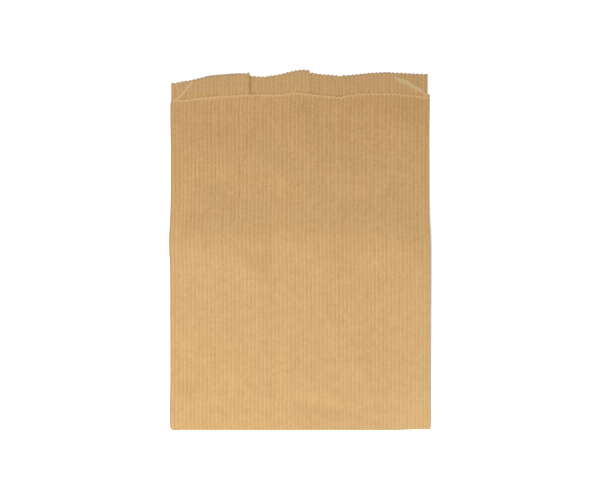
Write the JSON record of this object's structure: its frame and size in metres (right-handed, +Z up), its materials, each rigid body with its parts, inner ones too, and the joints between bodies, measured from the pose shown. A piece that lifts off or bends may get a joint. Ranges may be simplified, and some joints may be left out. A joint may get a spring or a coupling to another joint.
{
  "type": "paper bag",
  "caption": "Flat brown kraft paper bag with side gussets, a stepped serrated mouth, a lapped back seam and a folded base, for carrying a lunch or small goods.",
  "frame": {"origin": "on the floor under the middle of the bag's bounding box, the bag lying flat on its back", "axes": "+Z up through the front panel, +Y along the bag towards its mouth, +X across the bag to the right as the front panel is looked at with the mouth up"},
  "size_m": [0.1906, 0.2634, 0.0043],
  "materials": {
    "paper": "matt ribbed kraft"
  },
  "bodies": {
    "root": {"paper_bag": "paper"}
  },
  "joints": []
}
